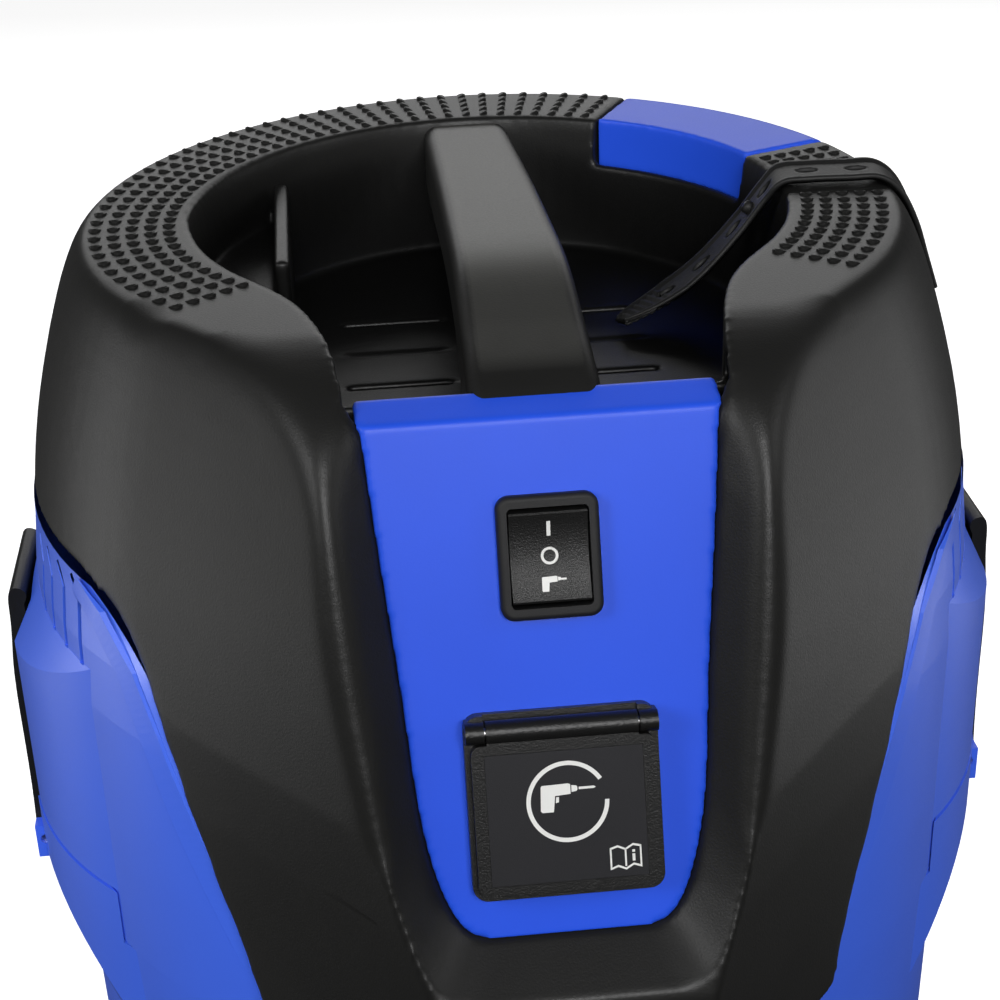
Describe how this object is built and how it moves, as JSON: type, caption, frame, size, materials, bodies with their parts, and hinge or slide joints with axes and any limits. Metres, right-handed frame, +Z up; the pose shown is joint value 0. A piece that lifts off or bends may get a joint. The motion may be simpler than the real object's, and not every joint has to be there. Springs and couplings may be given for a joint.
{
  "type": "shop vacuum",
  "caption": "Round wet and dry shop vacuum: black motor head with ring-shaped tool tray, handle, switch and socket panel, on a wheeled container.",
  "frame": {"origin": "floor level under the centre of the bounding box", "axes": "+Z up; -Y is the front with the switch panel and the hose inlet; +X to the right of someone facing the panel"},
  "size_m": [0.384, 0.4236, 0.5803],
  "materials": {
    "black_plastic": "fine grained satin",
    "blue_plastic": "satin",
    "black_gloss": "semi gloss",
    "rubber": "matte",
    "strap_rubber": "matte",
    "wheel_rubber": "matte",
    "steel": "plain",
    "aluminium": "plain",
    "winding": "laminated core with copper windings",
    "foam": "open cell",
    "board": "plain",
    "label": "printed film",
    "white_plastic": "plain",
    "filter_paper": "pleated"
  },
  "bodies": {
    "tub": {"container": "blue_plastic", "inlet_fitting": "black_plastic", "base_ring": "black_plastic", "latch_pin_left": "steel", "latch_pin_right": "steel"},
    "head": {"top_cover": "black_plastic", "tool_tray": "black_plastic", "carry_handle": "black_plastic", "front_panel": "blue_plastic", "switch_bezel": "rubber", "switch_body": "black_gloss", "socket_body": "black_gloss", "flap_pin": "steel", "button_spring": "steel", "hose_strap": "strap_rubber", "head_housing": "blue_plastic", "blow_port": "black_plastic", "cable_gland": "rubber", "motor_deck": "black_plastic", "head_gasket": "rubber", "motor_seal": "rubber", "fan_cover": "aluminium", "motor_can": "steel", "stator": "winding", "bearing_lower": "steel", "bearing_upper": "steel", "exhaust_foam": "foam", "control_board": "board", "float_cage": "black_plastic", "filter_cartridge": "filter_paper", "filter_cap": "black_plastic", "latch_catch_left": "black_plastic", "latch_catch_right": "black_plastic"},
    "rocker": {"switch_rocker": "black_gloss"},
    "flap": {"socket_flap": "black_gloss", "flap_label": "label"},
    "button": {"clean_button": "blue_plastic", "clean_rod": "steel"},
    "rotor": {"fan_wheel": "aluminium", "motor_shaft": "steel", "armature": "winding"},
    "float": {"float_cup": "white_plastic"},
    "latch_left": {"latch_lever_left": "black_plastic"},
    "latch_right": {"latch_lever_right": "black_plastic"},
    "castor_front_right": {"castor_fork_front_right": "black_gloss", "castor_axle_front_right": "steel"},
    "wheel_front_right": {"castor_wheel_front_right": "wheel_rubber"},
    "castor_back_right": {"castor_fork_back_right": "black_gloss", "castor_axle_back_right": "steel"},
    "wheel_back_right": {"castor_wheel_back_right": "wheel_rubber"},
    "castor_back_left": {"castor_fork_back_left": "black_gloss", "castor_axle_back_left": "steel"},
    "wheel_back_left": {"castor_wheel_back_left": "wheel_rubber"},
    "castor_front_left": {"castor_fork_front_left": "black_gloss", "castor_axle_front_left": "steel"},
    "wheel_front_left": {"castor_wheel_front_left": "wheel_rubber"}
  },
  "joints": [
    {"name": "head_lift", "type": "slide", "parent": "tub", "child": "head", "axis": [0, 0, 1], "range_m": [0, 0.24]},
    {"name": "switch_rock", "type": "hinge", "parent": "head", "child": "rocker", "pos_m": [0, -0.15212, 0.52054], "axis": [1, 0, 0], "range_deg": [-8, 8]},
    {"name": "flap_open", "type": "hinge", "parent": "head", "child": "flap", "pos_m": [0, -0.17908, 0.47864], "axis": [-1, 0, 0], "range_deg": [0, 105], "stiffness_Nm_per_rad": 0.006, "springref_deg": -17.19},
    {"name": "clean_press", "type": "slide", "parent": "head", "child": "button", "axis": [0, 0, -1], "range_m": [0, 0.008], "stiffness_N_per_m": 400, "springref_m": -0.003, "deforming": ["button_spring"]},
    {"name": "motor_spin", "type": "hinge", "parent": "head", "child": "rotor", "pos_m": [0, 0, 0.42], "axis": [0, 0, 1], "continuous": true},
    {"name": "float_rise", "type": "slide", "parent": "head", "child": "float", "axis": [0, 0, 1], "range_m": [0, 0.029]},
    {"name": "latch_left_open", "type": "hinge", "parent": "tub", "child": "latch_left", "pos_m": [-0.1772, 0, 0.346], "axis": [0, -1, 0], "range_deg": [0, 55]},
    {"name": "latch_right_open", "type": "hinge", "parent": "tub", "child": "latch_right", "pos_m": [0.1772, 0, 0.346], "axis": [0, 1, 0], "range_deg": [0, 55]},
    {"name": "swivel_front_right", "type": "hinge", "parent": "tub", "child": "castor_front_right", "pos_m": [0.11172, -0.11172, 0.055], "axis": [0, 0, 1], "continuous": true},
    {"name": "roll_front_right", "type": "hinge", "parent": "castor_front_right", "child": "wheel_front_right", "pos_m": [0.09772, -0.11172, 0.022], "axis": [0, 1, 0], "continuous": true},
    {"name": "swivel_back_right", "type": "hinge", "parent": "tub", "child": "castor_back_right", "pos_m": [0.11172, 0.11172, 0.055], "axis": [0, 0, 1], "continuous": true},
    {"name": "roll_back_right", "type": "hinge", "parent": "castor_back_right", "child": "wheel_back_right", "pos_m": [0.09772, 0.11172, 0.022], "axis": [0, 1, 0], "continuous": true},
    {"name": "swivel_back_left", "type": "hinge", "parent": "tub", "child": "castor_back_left", "pos_m": [-0.11172, 0.11172, 0.055], "axis": [0, 0, 1], "continuous": true},
    {"name": "roll_back_left", "type": "hinge", "parent": "castor_back_left", "child": "wheel_back_left", "pos_m": [-0.09772, 0.11172, 0.022], "axis": [0, 1, 0], "continuous": true},
    {"name": "swivel_front_left", "type": "hinge", "parent": "tub", "child": "castor_front_left", "pos_m": [-0.11172, -0.11172, 0.055], "axis": [0, 0, 1], "continuous": true},
    {"name": "roll_front_left", "type": "hinge", "parent": "castor_front_left", "child": "wheel_front_left", "pos_m": [-0.09772, -0.11172, 0.022], "axis": [0, 1, 0], "continuous": true}
  ]
}
